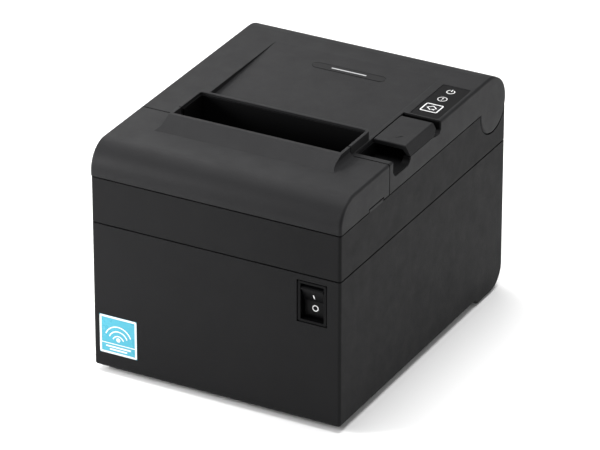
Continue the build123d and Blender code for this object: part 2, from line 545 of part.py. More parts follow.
with BuildPart() as feed_button:
    block(BUTTON_X - BUTTON_W / 2, BUTTON_X + BUTTON_W / 2,
          BUTTON_Y - BUTTON_D / 2, BUTTON_Y + BUTTON_D / 2, Z_TOP - 3.0, Z_TOP)
    fillet(feed_button.edges().group_by(Axis.Z)[-1], 0.3)
    post(BUTTON_X, BUTTON_Y, Z_TOP - 5.0, Z_TOP - 2.9, 1.6)
finish_part(feed_button.part, "feed_button")

with BuildPart() as lamp_windows:
    for y in LAMP_Y:
        post(BUTTON_X, y, Z_TOP - 4.5, Z_TOP - 0.15, LAMP_R)
finish_part(lamp_windows.part, "lamp_windows")

with BuildPart() as panel_board:
    block(PANEL_X0 - 0.2, 63.2, PANEL_Y0 + 1.2, PANEL_Y1 - 0.5, BOARD_TOP - 1.6, BOARD_TOP)
finish_part(panel_board.part, "panel_board")

with BuildPart() as feed_switch:
    block(BUTTON_X - 3, BUTTON_X + 3, BUTTON_Y - 3, BUTTON_Y + 3, BOARD_TOP, BOARD_TOP + 0.8)
    post(BUTTON_X, BUTTON_Y, BOARD_TOP + 0.8, BOARD_TOP + 1.2, 1.5)
    for y in LAMP_Y:
        block(BUTTON_X - 0.8, BUTTON_X + 0.8, y - 0.4, y + 0.4, BOARD_TOP, BOARD_TOP + 0.6)
finish_part(feed_switch.part, "feed_switch")

with BuildPart() as badge:
    with BuildSketch(Plane.XY.offset(Z_TOP - 1.3)) as lozenge:
        with Locations((BADGE_X, BADGE_Y)):
            SlotOverall(BADGE_L - 0.2, BADGE_W - 0.2)
    extrude(lozenge.sketch, amount=0.8)
finish_part(badge.part, "badge")

# ---------------------------------------------------------------- hinge pins
with BuildPart() as hinge_pins:
    for side in (-1, 1):
        near, far = sorted((side * 59.0, side * (HALF_W - 1.2)))
        rod(near, far, HINGE_Y, HINGE_Z, HINGE_PIN_R)
finish_part(hinge_pins.part, "hinge_pins")

# ---------------------------------------------------------------- platen unit on the cover
with BuildPart() as platen_holder:
    prism([(-31.0, 104.8), (-31.0, 108.6), (-20.0, 108.6), (-20.0, 92.0), (-23.0, 90.0),
           (-26.0, 92.0), (-26.0, 103.0)], -HOLDER_X, HOLDER_X)
    for x0, x1 in ((-HOLDER_X, -42.2), (42.2, HOLDER_X)):
        prism([(-26.0, 103.0), (PLATEN_Y, PLATEN_Z + 5), (PLATEN_Y - 5, PLATEN_Z),
               (PLATEN_Y, PLATEN_Z - 5), (-22.0, 91.0)], x0, x1)
    rod(-50, 50, PLATEN_Y, PLATEN_Z, SHAFT_R + 0.5, mode=Mode.SUBTRACT)
    # lugs that carry the latch shaft
    for x in (-36.0, 36.0):
        prism([(-20.5, 106.4), (LATCH_Y, 105.4), (LATCH_Y + 3.2, LATCH_Z), (LATCH_Y, 98.8),
               (-20.5, 98.8)], x - 2, x + 2)
    rod(-50, 50, LATCH_Y, LATCH_Z, LATCH_R + RUN, mode=Mode.SUBTRACT)
    # brackets and posts that hang the unit from the cover's ceiling
    for side in (-1, 1):
        near, far = sorted((side * 36.0, side * 42.5))
        block(near, far, -20.5, -12.5, 104.2, 107.0)
        post(side * 39.5, -15.2, 106.0, Z_TOP - RECESS_DEEP - WALL, 2.5)
finish_part(platen_holder.part, "platen_holder")

with BuildPart() as fixed_blade:
    block(-43.0, 43.0, PLATEN_Y - 4.6, -31.2, 104.9, 105.8)
    block(-43.0, 43.0, -31.2, -31.0, 104.9, 105.8)
    chamfer(fixed_blade.edges().filter_by(Axis.X).sort_by(Axis.Y)[0:1], 0.4)
finish_part(fixed_blade.part, "fixed_blade")

with BuildPart() as platen_roller:
    rod(-PLATEN_HALF, PLATEN_HALF, PLATEN_Y, PLATEN_Z, PLATEN_R)
    rod(-PLATEN_HALF - 1, PLATEN_HALF + 1, PLATEN_Y, PLATEN_Z, SHAFT_R, mode=Mode.SUBTRACT)
finish_part(platen_roller.part, "platen_roller")

with BuildPart() as platen_shaft:
    rod(-48.8, GEAR_X1 + 0.8, PLATEN_Y, PLATEN_Z, SHAFT_R)
finish_part(platen_shaft.part, "platen_shaft")

with BuildPart() as platen_bearings:
    for x0, x1 in ((-48.2, -44.8), (44.8, 48.2)):
        rod(x0, x1, PLATEN_Y, PLATEN_Z, 4.5)
    rod(-50, 50, PLATEN_Y, PLATEN_Z, SHAFT_R + RUN, mode=Mode.SUBTRACT)
finish_part(platen_bearings.part, "platen_bearings")

with BuildPart() as platen_gear:
    gear(GEAR_X0, GEAR_X1, PLATEN_Y, PLATEN_Z, FEED_MODULE, PLATEN_TEETH, -90.0)
    rod(GEAR_X0 - 1, GEAR_X1 + 1, PLATEN_Y, PLATEN_Z, SHAFT_R, mode=Mode.SUBTRACT)
finish_part(platen_gear.part, "platen_gear")

# ---------------------------------------------------------------- feed drive on the mechanism
with BuildPart() as idler_gear:
    gear(GEAR_X0, GEAR_X1, IDLER_Y, IDLER_Z, FEED_MODULE, IDLER_TEETH, 90.0 + 180.0 / IDLER_TEETH)
    rod(GEAR_X0 - 1, GEAR_X1 + 1, IDLER_Y, IDLER_Z, 1.5 + RUN, mode=Mode.SUBTRACT)
finish_part(idler_gear.part, "idler_gear")

with BuildPart() as idler_axle:
    rod(PLATE_X, GEAR_X1 + 0.6, IDLER_Y, IDLER_Z, 1.5)
    rod(GEAR_X1 + 0.2, GEAR_X1 + 0.8, IDLER_Y, IDLER_Z, 2.6)
finish_part(idler_axle.part, "idler_axle")

# angle of the idler tooth nearest to the motor, and a pinion gap to meet it
idler_step = 360.0 / IDLER_TEETH
idler_first = 90.0 + 180.0 / IDLER_TEETH
idler_offset = (MOTOR_ANGLE - idler_first) % idler_step
pinion_turn = MOTOR_ANGLE - 180.0 + 180.0 / PINION_TEETH + idler_offset * IDLER_TEETH / PINION_TEETH
with BuildPart() as feed_pinion:
    gear(GEAR_X0, GEAR_X1, MOTOR_Y, MOTOR_Z, FEED_MODULE, PINION_TEETH, pinion_turn)
    rod(46.4, GEAR_X1, MOTOR_Y, MOTOR_Z, 1.2)
finish_part(feed_pinion.part, "feed_pinion")

with BuildPart() as feed_motor:
    rod(30.0, PLATE_X, MOTOR_Y, MOTOR_Z, MOTOR_R)
    rod(30.0, 31.2, MOTOR_Y, MOTOR_Z, MOTOR_R - 1.5, mode=Mode.SUBTRACT)
    rod(29.9, 31.3, MOTOR_Y, MOTOR_Z, 3.0)
    block(33.0, 43.0, MOTOR_Y - 5, MOTOR_Y + 5, MOTOR_Z - MOTOR_R - 2.5, MOTOR_Z - 8)
finish_part(feed_motor.part, "feed_motor")

# ---------------------------------------------------------------- mechanism frame
with BuildPart() as mechanism_frame:
    for x0, x1 in ((-PLATE_X1, -PLATE_X), (PLATE_X, PLATE_X1)):
        prism([(-79.0, 84.0), (-79.0, 111.0), (-46.5, 111.0), (-46.5, 101.5), (-18.0, 101.5),
               (-18.0, 86.0), (-25.0, 80.0), (-25.0, 30.0), (-62.0, 30.0), (-62.0, 84.0)], x0, x1)
        block(x0, x1, PLATEN_Y - 5.1, PLATEN_Y + 5.1, PLATEN_Z, 102.0, mode=Mode.SUBTRACT)
        rod(x0, x1, PLATEN_Y, PLATEN_Z, 5.1, mode=Mode.SUBTRACT)
        # room for the latch shaft, which comes down with the cover
        block(x0, x1, LATCH_Y - 5.5, LATCH_Y + 8, LATCH_Z - 3.4, 112.0, mode=Mode.SUBTRACT)
        rod(x0, x1, CUT_Y, CUT_Z, CUT_SHAFT_R + RUN, mode=Mode.SUBTRACT)
        rod(x0, x1, HEAD_PIN_Y, HEAD_PIN_Z, HEAD_PIN_R, mode=Mode.SUBTRACT)
    rod(PLATE_X, PLATE_X1, MOTOR_Y, MOTOR_Z, 4.0, mode=Mode.SUBTRACT)
    rod(PLATE_X, PLATE_X1, IDLER_Y, IDLER_Z, 1.5, mode=Mode.SUBTRACT)
    # latch studs
    for x0, x1 in ((-50.4, -PLATE_X1), (PLATE_X1, 50.4)):
        rod(x0, x1, STUD_Y, STUD_Z, 1.5)
    # floor, front plate and spring bar between the side plates
    block(-PLATE_X, PLATE_X, -62.0, -25.0, 30.0, 31.2)
    block(-PLATE_X, PLATE_X, -62.0, -60.8, 30.0, 78.0)
    block(-PLATE_X, PLATE_X, -58.8, -54.2, 90.0, 99.0)
    for x in HEAD_SPRING_X:
        plug_hole(x, -57.8, -52.0, HEAD_SPRING_Z, 3.6, mode=Mode.SUBTRACT)
    # bar under the paper, for its sensor
    block(-PLATE_X, PLATE_X, -31.6, -25.2, 78.6, 80.5)
    # bracket of the cutter's motor
    block(33.0, 34.2, CUT_Y - 7, -60.8, CUT_MOTOR_Z - 6.5, CUT_MOTOR_Z + 6.5)
    block(33.0, 34.2, -62.0, -60.8, 78.0, CUT_MOTOR_Z)
    block(33.0, PLATE_X, -62.0, -60.8, 80.0, CUT_MOTOR_Z + 1.0)
    rod(32.0, 35.0, CUT_Y, CUT_MOTOR_Z, 1.6, mode=Mode.SUBTRACT)
    # room for the cutter's wheel
    block(34.8, 40.2, -59.0, -56.0, 89.0, 100.0, mode=Mode.SUBTRACT)
    for x in (-FRAME_SCREW_X, FRAME_SCREW_X):
        for y in FRAME_SCREW_Y:
            post(x, y, 29.0, 32.0, 1.6, mode=Mode.SUBTRACT)
finish_part(mechanism_frame.part, "mechanism_frame")

# ---------------------------------------------------------------- print head
with BuildPart() as head_heatsink:
    block(-42.0, 42.0, HEAD_Y - 6.0, HEAD_Y - 1.0, 82.0, 103.4)
    for x in range(-36, 37, 8):
        block(x - 2.4, x + 2.4, HEAD_Y - 6.1, HEAD_Y - 4.0, 98.0, 104.0, mode=Mode.SUBTRACT)
    rod(-43, 43, HEAD_PIN_Y, HEAD_PIN_Z, HEAD_PIN_R + RUN, mode=Mode.SUBTRACT)
finish_part(head_heatsink.part, "head_heatsink")

with BuildPart() as thermal_head:
    block(-41.5, 41.5, HEAD_Y - 1.0, HEAD_Y - 0.1, 88.0, 102.0)
    block(-40.5, 40.5, HEAD_Y - 0.15, HEAD_Y, 95.3, 96.7)
finish_part(thermal_head.part, "thermal_head")

with BuildPart() as head_pin:
    rod(-PLATE_X1, PLATE_X1, HEAD_PIN_Y, HEAD_PIN_Z, HEAD_PIN_R)
finish_part(head_pin.part, "head_pin")

with BuildPart() as head_springs:
    wire = 0.35
    coil_front = -56.5 + wire
    coil_len = HEAD_Y - 6.0 - wire - coil_front
    for x in HEAD_SPRING_X:
        with BuildLine() as coil:
            Helix(pitch=coil_len / 6, height=coil_len, radius=2.4,
                  center=(x, coil_front, HEAD_SPRING_Z), direction=(0, 1, 0))
        with BuildSketch(Plane(origin=coil.line @ 0, z_dir=coil.line % 0)) as wire_face:
            Circle(wire)
        sweep(wire_face.sketch, path=coil.line)
finish_part(head_springs.part, "head_springs")

# ---------------------------------------------------------------- cutter
with BuildPart() as cutter_rails:
    for x0, x1 in ((-PLATE_X, -42.6), (42.6, PLATE_X)):
        block(x0, x1, -79.0, -46.6, 104.2, 111.0)
    block(-PLATE_X, PLATE_X, -79.0, -50.0, 110.0, 111.0)
    block(-44.4, 44.4, -80.0, -46.0, BLADE_Z - 0.2, BLADE_Z + BLADE_T + 0.2, mode=Mode.SUBTRACT)
finish_part(cutter_rails.part, "cutter_rails")

with BuildPart() as moving_blade:
    with BuildSketch(Plane.XY.offset(BLADE_Z)) as plan:
        with BuildLine():
            Polyline((-44.0, -58.0), (44.0, -58.0), (44.0, BLADE_REST), (0.0, BLADE_REST - 2.4),
                     (-44.0, BLADE_REST), close=True)
        make_face()
    extrude(plan.sketch, amount=BLADE_T)
finish_part(moving_blade.part, "moving_blade")

RACK_PITCH_Z = CUT_Z + RACK_MODULE * RACK_TEETH / 2
with BuildPart() as blade_carrier:
    block(-32.0, 32.0, -78.0, -52.0, BLADE_Z + BLADE_T, 109.4)
    for x0, x1 in ((-30.0, -24.0), (24.0, 30.0)):
        block(x0, x1, -78.0, -58.4, RACK_PITCH_Z + 1.2, BLADE_Z + BLADE_T)
        rack_plane = Plane(origin=(x0, 0, 0), x_dir=(0, 1, 0), z_dir=(1, 0, 0))
        tooth_pitch = pi * RACK_MODULE
        with BuildSketch(rack_plane) as rack_teeth:
            with Locations([(CUT_Y + (k - 0.5) * tooth_pitch, RACK_PITCH_Z) for k in range(-3, 3)]):
                Polygon((-1.1, 1.5), (-0.36, -0.9), (0.36, -0.9), (1.1, 1.5), align=None)
        extrude(rack_teeth.sketch, amount=x1 - x0)
finish_part(blade_carrier.part, "blade_carrier")

with BuildPart() as cutter_shaft:
    rod(-PLATE_X1, PLATE_X1, CUT_Y, CUT_Z, CUT_SHAFT_R)
finish_part(cutter_shaft.part, "cutter_shaft")

with BuildPart() as cutter_pinions:
    for x0, x1 in ((-30.0, -24.0), (24.0, 30.0)):
        gear(x0, x1, CUT_Y, CUT_Z, RACK_MODULE, RACK_TEETH, 90.0)
    rod(-40, 40, CUT_Y, CUT_Z, CUT_SHAFT_R, mode=Mode.SUBTRACT)
finish_part(cutter_pinions.part, "cutter_pinions")

with BuildPart() as cutter_wheel:
    gear(36.0, 39.0, CUT_Y, CUT_Z, CUT_MODULE, CUT_WHEEL_TEETH, -90.0)
    rod(30, 42, CUT_Y, CUT_Z, CUT_SHAFT_R, mode=Mode.SUBTRACT)
finish_part(cutter_wheel.part, "cutter_wheel")

with BuildPart() as cutter_motor_pinion:
    gear(36.0, 39.0, CUT_Y, CUT_MOTOR_Z, CUT_MODULE, CUT_PINION_TEETH,
         90.0 + 180.0 / CUT_PINION_TEETH)
    rod(33.2, 39.0, CUT_Y, CUT_MOTOR_Z, 1.0)
finish_part(cutter_motor_pinion.part, "cutter_motor_pinion")

with BuildPart() as cutter_motor:
    rod(8.0, 33.0, CUT_Y, CUT_MOTOR_Z, 6.0)
    for side in (-1, 1):
        z0, z1 = sorted((CUT_MOTOR_Z + side * 5.0, CUT_MOTOR_Z + side * 7.0))
        block(8.0, 33.0, CUT_Y - 8, CUT_Y + 8, z0, z1, mode=Mode.SUBTRACT)
    rod(6.6, 8.0, CUT_Y, CUT_MOTOR_Z, 2.2)
finish_part(cutter_motor.part, "cutter_motor")

# ---------------------------------------------------------------- paper bucket and sensors
with BuildPart() as paper_bucket:
    with BuildSketch(Plane.YZ) as tub:
        with BuildLine():
            bowl = CenterArc((ROLL_Y, ROLL_Z), ROLL_R + 2.0, 180.0, 180.0)
            Polyline(bowl @ 1, (ROLL_Y + ROLL_R + 2.0, 88.0), (ROLL_Y - ROLL_R - 2.0, 88.0),
                     bowl @ 0)
        make_face()
    extrude(tub.sketch, amount=BUCKET_X + 2.0, both=True)
    for side in (-1, 1):
        near, far = sorted((side * BUCKET_X, side * 62.0))
        block(near, far, -13.0, 49.0, 84.0, 86.0)
    with BuildSketch(Plane.YZ) as space:
        Circle(0.1)
        with Locations((ROLL_Y, ROLL_Z)):
            Circle(ROLL_R)
        with Locations((ROLL_Y, ROLL_Z + 20)):
            Rectangle(2 * ROLL_R, 40)
    extrude(space.sketch, amount=BUCKET_X, both=True, mode=Mode.SUBTRACT)
finish_part(paper_bucket.part, "paper_bucket")

with BuildPart() as near_end_sensor:
    block(-48.0, -44.0, 4.0, 14.0, 56.0, 66.0)
finish_part(near_end_sensor.part, "near_end_sensor")

with BuildPart() as paper_sensor:
    block(-4.0, 4.0, -31.0, -26.6, 80.5, 84.5)
finish_part(paper_sensor.part, "paper_sensor")

# ---------------------------------------------------------------- base plate and feet
with BuildPart() as base_plate:
    block(-61.6, 61.6, -81.0, 67.8, FOOT + 0.6, FOOT + 3.0)
    block(-63.6, 63.6, -83.2, 71.8, FOOT + 3.0, FOOT + 4.4)
    for x in (-FRAME_SCREW_X, FRAME_SCREW_X):
        for y in FRAME_SCREW_Y:
            post(x, y, FOOT + 4.4, 30.0, 4.0)
            post(x, y, 16.0, 31.0, 1.25, mode=Mode.SUBTRACT)
    for x in (-BOARD_SCREW_X, BOARD_SCREW_X):
        for y in BOARD_SCREW_Y:
            post(x, y, FOOT + 4.4, BOARD_Z, 3.0)
            post(x, y, FOOT + 4.6, BOARD_Z + 1, 1.0, mode=Mode.SUBTRACT)
    # recesses for the feet
    for x in (-FOOT_X, FOOT_X):
        for y in FOOT_Y:
            post(x, y, FOOT, FOOT + 2.0, FOOT_R + 0.1, mode=Mode.SUBTRACT)
            post(x, y, FOOT, FOOT + 6.0, 1.8, mode=Mode.SUBTRACT)
    # counterbored screw holes
    for x in (-BASE_SCREW_X, BASE_SCREW_X):
        for y in BASE_SCREW_Y:
            post(x, y, FOOT, FOOT + 5.0, 1.7, mode=Mode.SUBTRACT)
            post(x, y, FOOT, FOOT + 2.2, 3.2, mode=Mode.SUBTRACT)
finish_part(base_plate.part, "base_plate")

with BuildPart() as rubber_feet:
    for x in (-FOOT_X, FOOT_X):
        for y in FOOT_Y:
            post(x, y, 0.0, FOOT + 2.0, FOOT_R)
            post(x, y, FOOT + 2.0, FOOT + 5.2, 1.75)
    chamfer(rubber_feet.edges().group_by(Axis.Z)[0], 0.8)
finish_part(rubber_feet.part, "rubber_feet")

with BuildPart() as base_screws:
    for x in (-BASE_SCREW_X, BASE_SCREW_X):
        for y in BASE_SCREW_Y:
            post(x, y, FOOT + 0.7, FOOT + 2.2, 2.9)
            post(x, y, FOOT + 2.2, FOOT + 11.0, 1.48)
            post(x, y, FOOT + 0.6, FOOT + 1.6, 1.1, mode=Mode.SUBTRACT)
finish_part(base_screws.part, "base_screws")

with BuildPart() as frame_screws:
    for x in (-FRAME_SCREW_X, FRAME_SCREW_X):
        for y in FRAME_SCREW_Y:
            post(x, y, 31.2, 33.0, 2.8)
            post(x, y, 18.0, 31.2, 1.23)
            post(x, y, 32.2, 34.0, 1.0, mode=Mode.SUBTRACT)
finish_part(frame_screws.part, "frame_screws")

# ---------------------------------------------------------------- electronics
with BuildPart() as main_board:
    block(-53.0, 53.0, -16.0, 81.0, BOARD_Z, BOARD_Z + 1.6)
    for x in (-BOARD_SCREW_X, BOARD_SCREW_X):
        for y in BOARD_SCREW_Y:
            post(x, y, BOARD_Z - 1, BOARD_Z + 2, 1.4, mode=Mode.SUBTRACT)
finish_part(main_board.part, "main_board")

with BuildPart() as board_screws:
    for x in (-BOARD_SCREW_X, BOARD_SCREW_X):
        for y in BOARD_SCREW_Y:
            post(x, y, BOARD_Z + 1.6, BOARD_Z + 3.2, 2.4)
            post(x, y, FOOT + 5.4, BOARD_Z + 1.6, 0.98)
            post(x, y, BOARD_Z + 2.4, BOARD_Z + 4.0, 0.9, mode=Mode.SUBTRACT)
finish_part(board_screws.part, "board_screws")

with BuildPart() as board_parts:
    top = BOARD_Z + 1.6
    block(-20.0, 0.0, 20.0, 40.0, top, top + 2.0)
    block(12.0, 26.0, 30.0, 42.0, top, top + 1.4)
    for x, y in ((-40.0, 50.0), (-40.0, 38.0), (40.0, 46.0)):
        post(x, y, top, top + 12.0, 5.0)
    block(-30.0, 30.0, -13.0, -8.0, top, top + 5.0)
finish_part(board_parts.part, "board_parts")

PORT_Z = BOARD_Z + 1.6
REAR_PLATE_Y = HALF_D - WALL - 1.2
with BuildPart() as interface_plate:
    block(-58.0, 58.0, REAR_PLATE_Y, REAR_PLATE_Y + 1.2, 11.0, 35.0)
    plug_hole(-36.0, REAR_PLATE_Y - 1, REAR_PLATE_Y + 2, PORT_Z + 7.0, 7.2, mode=Mode.SUBTRACT)
    block(-18.2, -5.8, REAR_PLATE_Y - 1, REAR_PLATE_Y + 2, PORT_Z - 0.1, PORT_Z + 11.2,
          mode=Mode.SUBTRACT)
    block(2.8, 19.2, REAR_PLATE_Y - 1, REAR_PLATE_Y + 2, PORT_Z - 0.1, PORT_Z + 13.6,
          mode=Mode.SUBTRACT)
    block(28.3, 41.7, REAR_PLATE_Y - 1, REAR_PLATE_Y + 2, PORT_Z - 0.1, PORT_Z + 11.8,
          mode=Mode.SUBTRACT)
    for x in (-REAR_SCREW_X, REAR_SCREW_X):
        plug_hole(x, REAR_PLATE_Y - 1, REAR_PLATE_Y + 2, REAR_SCREW_Z, 1.3, mode=Mode.SUBTRACT)
finish_part(interface_plate.part, "interface_plate")

PORT_FACE = HALF_D - 1.4
with BuildPart() as dc_inlet:
    block(-43.0, -29.0, 68.0, REAR_PLATE_Y - 0.2, PORT_Z, PORT_Z + 14.0)
    plug_hole(-36.0, REAR_PLATE_Y - 0.2, PORT_FACE, PORT_Z + 7.0, 7.0)
    plug_hole(-36.0, 73.0, PORT_FACE + 1, PORT_Z + 7.0, 5.0, mode=Mode.SUBTRACT)
    for angle in (90, 210, 330):
        plug_hole(-36.0 + 2.6 * cos(radians(angle)), 72.9, PORT_FACE - 3.0,
                  PORT_Z + 7.0 + 2.6 * sin(radians(angle)), 0.6)
finish_part(dc_inlet.part, "dc_inlet")

with BuildPart() as usb_port:
    block(-18.0, -6.0, 69.0, PORT_FACE, PORT_Z, PORT_Z + 11.0)
    block(-16.2, -7.8, 74.0, PORT_FACE + 1, PORT_Z + 1.6, PORT_Z + 9.4, mode=Mode.SUBTRACT)
    block(-14.8, -9.2, 73.9, PORT_FACE - 1.0, PORT_Z + 3.9, PORT_Z + 7.1)
finish_part(usb_port.part, "usb_port")

with BuildPart() as network_port:
    block(3.0, 19.0, 64.0, PORT_FACE, PORT_Z, PORT_Z + 13.4)
    block(5.1, 16.9, 71.0, PORT_FACE + 1, PORT_Z + 3.4, PORT_Z + 11.6, mode=Mode.SUBTRACT)
    block(8.0, 14.0, 71.0, PORT_FACE + 1, PORT_Z + 1.2, PORT_Z + 3.5, mode=Mode.SUBTRACT)
finish_part(network_port.part, "network_port")

with BuildPart() as drawer_port:
    block(28.5, 41.5, 66.0, PORT_FACE, PORT_Z, PORT_Z + 11.6)
    block(30.1, 39.9, 72.0, PORT_FACE + 1, PORT_Z + 3.0, PORT_Z + 10.0, mode=Mode.SUBTRACT)
    block(32.6, 37.4, 72.0, PORT_FACE + 1, PORT_Z + 1.0, PORT_Z + 3.1, mode=Mode.SUBTRACT)
finish_part(drawer_port.part, "drawer_port")

with BuildPart() as interface_screws:
    for x in (-REAR_SCREW_X, REAR_SCREW_X):
        plug_hole(x, HALF_D - 0.85, HALF_D - 0.1, REAR_SCREW_Z, 2.8)
        plug_hole(x, REAR_PLATE_Y - 2.0, HALF_D - 0.85, REAR_SCREW_Z, 1.28)
        for wide, tall in ((1.8, 0.3), (0.3, 1.8)):
            block(x - wide, x + wide, HALF_D - 0.5, HALF_D, REAR_SCREW_Z - tall,
                  REAR_SCREW_Z + tall, mode=Mode.SUBTRACT)
finish_part(interface_screws.part, "interface_screws")

# ---------------------------------------------------------------- power switch
FLOOR_Y = HOUSE_FRONT + SWITCH_RECESS
PIVOT_Y = FLOOR_Y + 4.5
ROCK = 26.0              # rocker's throw, and the angle between its two faces
ROCK_FACE = 2.4          # distance of both faces from the pivot
ROCK_R = 9.2
ROCK_W = 11.6
with BuildPart() as switch_body:
    block(SWITCH_X - SWITCH_W / 2, SWITCH_X + SWITCH_W / 2, FLOOR_Y - 1.3, FLOOR_Y,
          SWITCH_Z - SWITCH_H / 2, SWITCH_Z + SWITCH_H / 2)
    fillet(switch_body.edges().filter_by(Axis.Y), 1.0)
    block(SWITCH_X - SWITCH_BODY_W / 2, SWITCH_X + SWITCH_BODY_W / 2, FLOOR_Y, FLOOR_Y + 12.0,
          SWITCH_Z - SWITCH_BODY_H / 2, SWITCH_Z + SWITCH_BODY_H / 2)
    block(SWITCH_X - ROCK_W / 2 - 0.3, SWITCH_X + ROCK_W / 2 + 0.3, FLOOR_Y - 2, FLOOR_Y + 10.4,
          SWITCH_Z - ROCK_R - 0.1, SWITCH_Z + ROCK_R + 0.1, mode=Mode.SUBTRACT)
    for z in (SWITCH_Z - 5.0, SWITCH_Z + 5.0):
        block(SWITCH_X - 2.4, SWITCH_X + 2.4, FLOOR_Y + 11.9, FLOOR_Y + 19.0, z - 0.4, z + 0.4)
    rod(SWITCH_X - 6.6, SWITCH_X + 6.6, PIVOT_Y, SWITCH_Z, 1.2, mode=Mode.SUBTRACT)
finish_part(switch_body.part, "switch_body")

with BuildPart() as switch_rocker:
    # switched off: the lower face is upright and the upper face leans out of the bezel
    ridge = SWITCH_Z - ROCK_FACE * tan(radians(ROCK / 2))
    lean = 12.0
    prism([(PIVOT_Y - ROCK_FACE, SWITCH_Z - lean), (PIVOT_Y - ROCK_FACE, ridge),
           (PIVOT_Y - ROCK_FACE - lean * tan(radians(ROCK)), ridge + lean),
           (PIVOT_Y + 1.6, ridge + lean), (PIVOT_Y + 1.6, SWITCH_Z - lean)],
          SWITCH_X - ROCK_W / 2, SWITCH_X + ROCK_W / 2)
    rod(SWITCH_X - 7, SWITCH_X + 7, PIVOT_Y, SWITCH_Z, ROCK_R, mode=Mode.INTERSECT)
    rod(SWITCH_X - 6.55, SWITCH_X + 6.55, PIVOT_Y, SWITCH_Z, 1.15)
finish_part(switch_rocker.part, "switch_rocker")

# ---------------------------------------------------------------- front sticker
with BuildPart() as front_sticker:
    block(-63.0, -42.7, HOUSE_FRONT - 0.15, HOUSE_FRONT, 11.2, 31.5)
finish_part(front_sticker.part, "front_sticker")
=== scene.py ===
"""Looks of the receipt printer: materials, printed marks, a painted shade on the lever, floor, lights and camera.
"""
import json
import math

import bmesh
import bpy
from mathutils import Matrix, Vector


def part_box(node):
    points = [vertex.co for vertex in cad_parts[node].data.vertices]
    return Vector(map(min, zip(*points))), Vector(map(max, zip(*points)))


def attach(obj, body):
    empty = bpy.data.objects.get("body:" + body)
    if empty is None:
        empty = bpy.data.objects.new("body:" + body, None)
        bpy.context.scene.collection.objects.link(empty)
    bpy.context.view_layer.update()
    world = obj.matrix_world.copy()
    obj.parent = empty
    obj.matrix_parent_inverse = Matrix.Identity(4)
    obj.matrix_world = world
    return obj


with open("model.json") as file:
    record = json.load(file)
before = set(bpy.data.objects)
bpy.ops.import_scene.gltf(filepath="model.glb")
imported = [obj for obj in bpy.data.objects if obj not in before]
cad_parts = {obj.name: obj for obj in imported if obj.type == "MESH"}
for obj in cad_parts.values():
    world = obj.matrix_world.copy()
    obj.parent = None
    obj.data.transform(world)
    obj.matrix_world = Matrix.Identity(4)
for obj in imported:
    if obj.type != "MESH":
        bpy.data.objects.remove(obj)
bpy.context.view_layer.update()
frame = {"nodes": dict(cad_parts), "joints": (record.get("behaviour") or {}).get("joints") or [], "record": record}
nodes = frame["nodes"]
MM = 0.001


# ---------------------------------------------------------------- camera
def make_camera():
    """A long lens that looks down at the printer from its front right."""
    azimuth = math.radians(28.25)
    elevation = math.radians(27.1)
    distance = 2270.3 * MM
    slide_right = -0.8 * MM
    slide_up = -5.6 * MM
    target = Vector((0, 0, 61.4 * MM))
    back = Vector((math.sin(azimuth) * math.cos(elevation),
                   -math.cos(azimuth) * math.cos(elevation), math.sin(elevation)))
    right = Vector((math.cos(azimuth), math.sin(azimuth), 0))
    up = back.cross(right)
    data = bpy.data.cameras.new("camera")
    data.lens = 283.0
    data.sensor_width = 36.0
    data.clip_end = 50
    camera = bpy.data.objects.new("camera", data)
    camera.location = target + back * distance + right * slide_right + up * slide_up
    camera.rotation_euler = back.to_track_quat("Z", "Y").to_euler()
    bpy.context.scene.collection.objects.link(camera)
    bpy.context.scene.camera = camera


